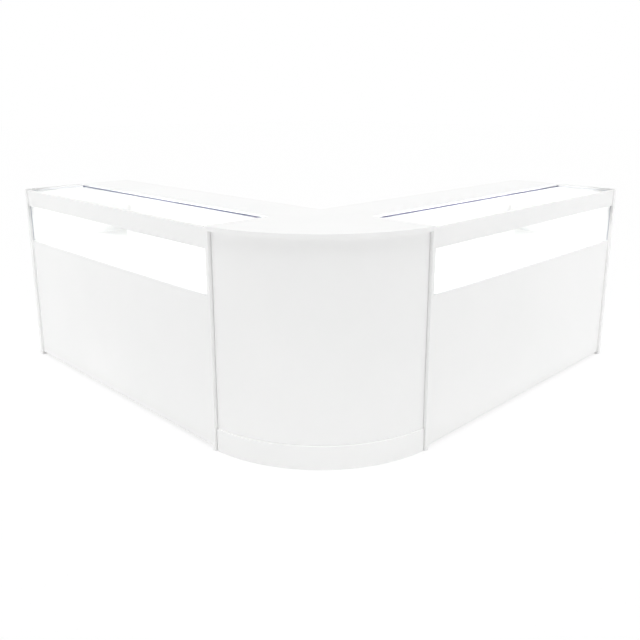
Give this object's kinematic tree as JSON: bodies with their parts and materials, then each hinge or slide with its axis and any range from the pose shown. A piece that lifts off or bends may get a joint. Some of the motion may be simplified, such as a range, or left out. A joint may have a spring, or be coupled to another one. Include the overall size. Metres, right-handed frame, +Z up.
{
  "type": "retail display counter",
  "caption": "White L-shaped shop counter: showcase wings with glass window, glass top strip and sliding staff doors, tied to a quarter-round corner unit.",
  "frame": {"origin": "on the floor, under the middle of the counter's outline", "axes": "+Z up; from the inner corner the right wing runs along +X and the left wing along +Y; customers stand on the -X and -Y sides"},
  "size_m": [2.155, 2.155, 0.9],
  "materials": {
    "white_board": "white melamine-faced board with matching edging, satin",
    "clear_glass": "clear toughened glass with ground edges",
    "white_plastic": "extruded white plastic, satin",
    "lamp_cover": "opal lamp cover, lit from behind",
    "satin_aluminium": "satin anodised aluminium",
    "nickel": "nickel-plated, satin"
  },
  "bodies": {
    "counter": {"corner_top": "white_board", "corner_front_panel": "white_board", "corner_plinth": "white_board", "corner_right_side": "white_board", "corner_left_side": "white_board", "corner_base": "white_board", "corner_rib": "white_board", "right_outer_end_panel": "white_board", "right_inner_end_panel": "white_board", "right_front_panel": "white_board", "right_fascia": "white_board", "right_front_glass": "clear_glass", "right_top_glass": "clear_glass", "right_front_glass_rail": "white_board", "right_rear_glass_rail": "white_board", "right_worktop": "white_board", "right_lamp_channel": "satin_aluminium", "right_lamp_diffuser": "lamp_cover", "right_lamp_inlet": "white_plastic", "right_deck": "white_board", "right_base_board": "white_board", "right_kick_rail": "white_board", "right_divider": "white_board", "right_shelf_a": "white_board", "right_shelf_b": "white_board", "right_upper_track": "white_plastic", "right_lower_track": "white_plastic", "right_low_bolt": "nickel", "right_high_bolt": "nickel", "left_outer_end_panel": "white_board", "left_inner_end_panel": "white_board", "left_front_panel": "white_board", "left_fascia": "white_board", "left_front_glass": "clear_glass", "left_top_glass": "clear_glass", "left_front_glass_rail": "white_board", "left_rear_glass_rail": "white_board", "left_worktop": "white_board", "left_lamp_channel": "satin_aluminium", "left_lamp_diffuser": "lamp_cover", "left_lamp_inlet": "white_plastic", "left_deck": "white_board", "left_base_board": "white_board", "left_kick_rail": "white_board", "left_divider": "white_board", "left_shelf_a": "white_board", "left_shelf_b": "white_board", "left_upper_track": "white_plastic", "left_lower_track": "white_plastic", "left_low_bolt": "nickel", "left_high_bolt": "nickel"},
    "right_showcase_door": {"right_showcase_door": "white_board"},
    "right_staff_door": {"right_staff_door": "white_board", "right_lock_barrel": "nickel"},
    "right_lock_plug": {"right_lock_plug": "nickel"},
    "left_showcase_door": {"left_showcase_door": "white_board"},
    "left_staff_door": {"left_staff_door": "white_board", "left_lock_barrel": "nickel"},
    "left_lock_plug": {"left_lock_plug": "nickel"}
  },
  "joints": [
    {"name": "right_showcase_door_slide", "type": "slide", "parent": "counter", "child": "right_showcase_door", "axis": [1, 0, 0], "range_m": [0, 0.746]},
    {"name": "right_staff_door_slide", "type": "slide", "parent": "counter", "child": "right_staff_door", "axis": [-1, 0, 0], "range_m": [0, 0.746]},
    {"name": "right_lock_turn", "type": "hinge", "parent": "right_staff_door", "child": "right_lock_plug", "pos_m": [0.2925, -0.5069, 0.7483], "axis": [0, 1, 0], "range_deg": [0, 90]},
    {"name": "left_showcase_door_slide", "type": "slide", "parent": "counter", "child": "left_showcase_door", "axis": [0, -1, 0], "range_m": [0, 0.746]},
    {"name": "left_staff_door_slide", "type": "slide", "parent": "counter", "child": "left_staff_door", "axis": [0, 1, 0], "range_m": [0, 0.746]},
    {"name": "left_lock_turn", "type": "hinge", "parent": "left_staff_door", "child": "left_lock_plug", "pos_m": [-0.5069, 0.2925, 0.7483], "axis": [1, 0, 0], "range_deg": [0, 90]}
  ]
}
